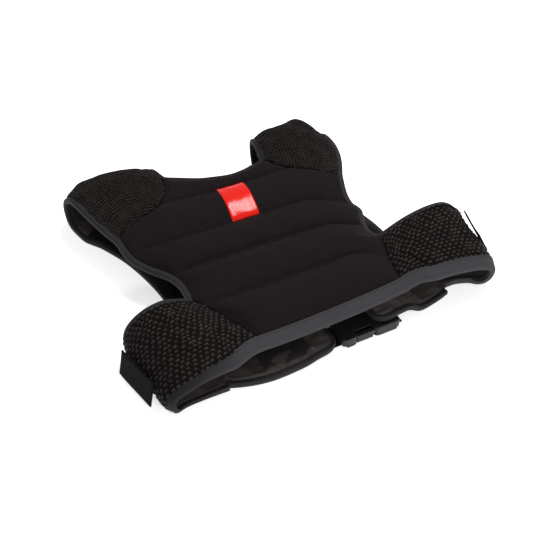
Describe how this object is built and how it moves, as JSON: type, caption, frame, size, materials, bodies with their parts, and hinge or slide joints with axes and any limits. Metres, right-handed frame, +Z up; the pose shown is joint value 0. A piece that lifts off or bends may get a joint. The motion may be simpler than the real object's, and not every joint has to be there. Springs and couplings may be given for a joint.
{
  "type": "weighted vest",
  "caption": "Short padded weighted vest lying back up: quilted back, mesh shoulder yokes and curled side wings, bound edges and a fastened waist buckle.",
  "frame": {"origin": "on the surface that the vest lies on, under the middle of its box", "axes": "+X across the vest towards its right wing, which is the wearer's right, +Y from the hem to the shoulders, +Z up from the surface through the back"},
  "size_m": [0.4532, 0.3934, 0.0671],
  "materials": {
    "neoprene": "matte knit-faced neoprene",
    "spacer_mesh": "open diamond spacer mesh",
    "edge_binding": "folded woven binding",
    "ribbed_tape": "finely ribbed elastic tape",
    "webbing": "woven nylon webbing",
    "hook_tape": "short hook tape",
    "gloss_label": "glossy, slightly domed",
    "buckle_plastic": "satin moulded acetal"
  },
  "bodies": {
    "root": {"back_panel": "neoprene", "red_label": "gloss_label", "side_wing_left": "spacer_mesh", "side_wing_right": "spacer_mesh", "shoulder_yoke_left": "spacer_mesh", "shoulder_yoke_right": "spacer_mesh", "front_panel_left": "neoprene", "front_panel_right": "neoprene", "waist_belt_left": "neoprene", "waist_belt_right": "neoprene", "armhole_binding_left": "edge_binding", "armhole_binding_right": "edge_binding", "wing_binding_left": "edge_binding", "wing_binding_right": "edge_binding", "belt_binding_left": "edge_binding", "belt_binding_right": "edge_binding", "neck_binding": "edge_binding", "hem_tape": "ribbed_tape", "side_tab_left": "webbing", "side_tab_right": "webbing", "webbing_left": "webbing", "webbing_right": "webbing", "fastening_patch": "hook_tape", "buckle_socket": "buckle_plastic", "buckle_plug": "buckle_plastic"}
  },
  "joints": []
}
